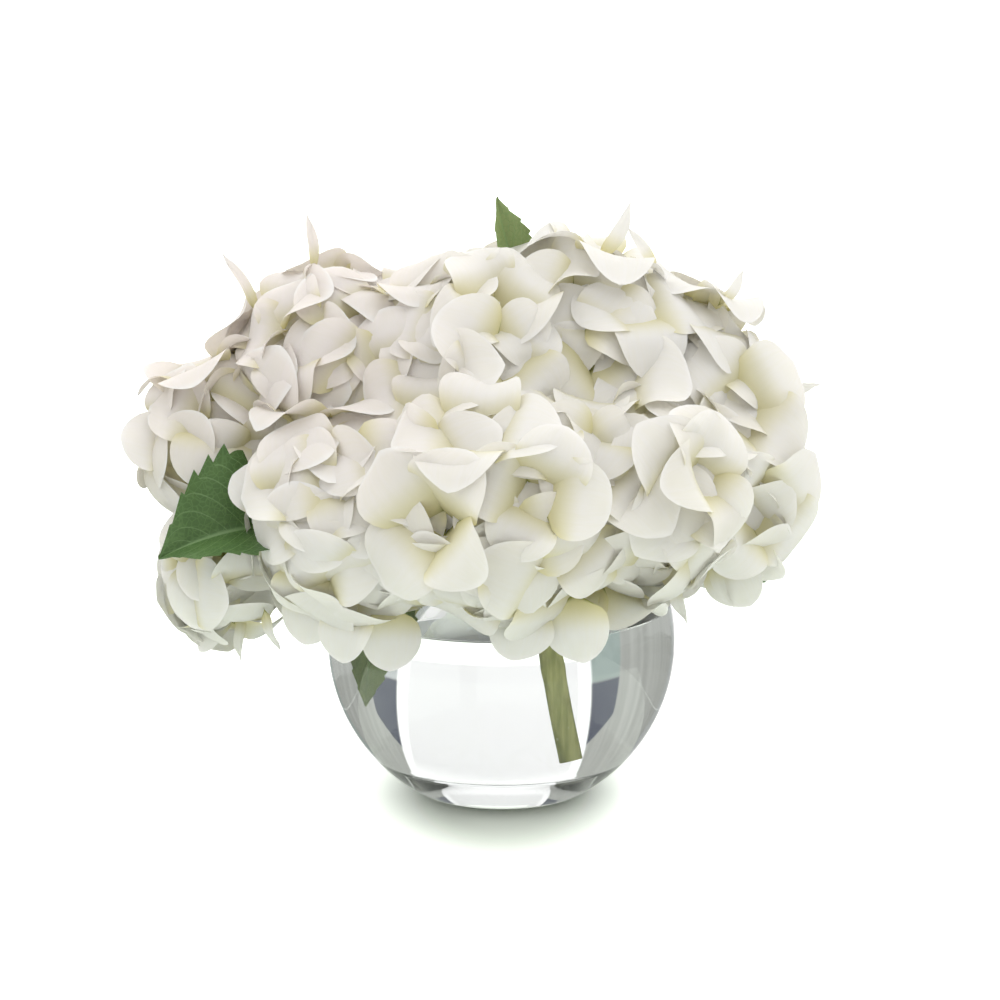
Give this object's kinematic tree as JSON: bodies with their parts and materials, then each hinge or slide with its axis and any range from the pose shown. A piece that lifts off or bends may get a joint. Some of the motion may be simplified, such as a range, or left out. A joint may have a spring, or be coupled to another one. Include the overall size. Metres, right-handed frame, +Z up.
{
  "type": "floral table centerpiece",
  "caption": "Low dome of white hydrangea blooms on branched stems, with toothed green leaves, standing in a round clear glass bowl of water.",
  "frame": {"origin": "centre of the bowl's flat base, on the surface that it stands on", "axes": "+Z up, front faces -Y, +X to the right seen from the front"},
  "size_m": [0.288, 0.245, 0.2573],
  "materials": {
    "bowl_glass": "clear blown glass, polished",
    "water": "clear water",
    "stem": "matt green stem, cut across at the foot",
    "stalk": "matt pale green stalk",
    "petals": "matt creamy white petals",
    "leaf": "satin dark green leaf with pale veins"
  },
  "bodies": {
    "root": {"glass_bowl": "bowl_glass", "water": "water", "stem_right": "stem", "stem_left": "stem", "stalk_front": "stalk", "stalk_front_left": "stalk", "stalk_front_right": "stalk", "stalk_left": "stalk", "stalk_low_left": "stalk", "stalk_upper_left": "stalk", "stalk_top_left": "stalk", "stalk_top": "stalk", "stalk_upper_right": "stalk", "stalk_right": "stalk", "stalk_back_left": "stalk", "stalk_back_top": "stalk", "stalk_back": "stalk", "stalk_back_right": "stalk", "bloom_front": "petals", "bloom_front_left": "petals", "bloom_front_right": "petals", "bloom_left": "petals", "bloom_low_left": "petals", "bloom_upper_left": "petals", "bloom_top_left": "petals", "bloom_top": "petals", "bloom_upper_right": "petals", "bloom_right": "petals", "bloom_back_left": "petals", "bloom_back_top": "petals", "bloom_back": "petals", "bloom_back_right": "petals", "leaf_left": "leaf", "leaf_top": "leaf", "leaf_bowl": "leaf", "leaf_neck": "leaf", "leaf_back_left": "leaf", "leaf_back": "leaf", "leaf_right": "leaf"}
  },
  "joints": []
}
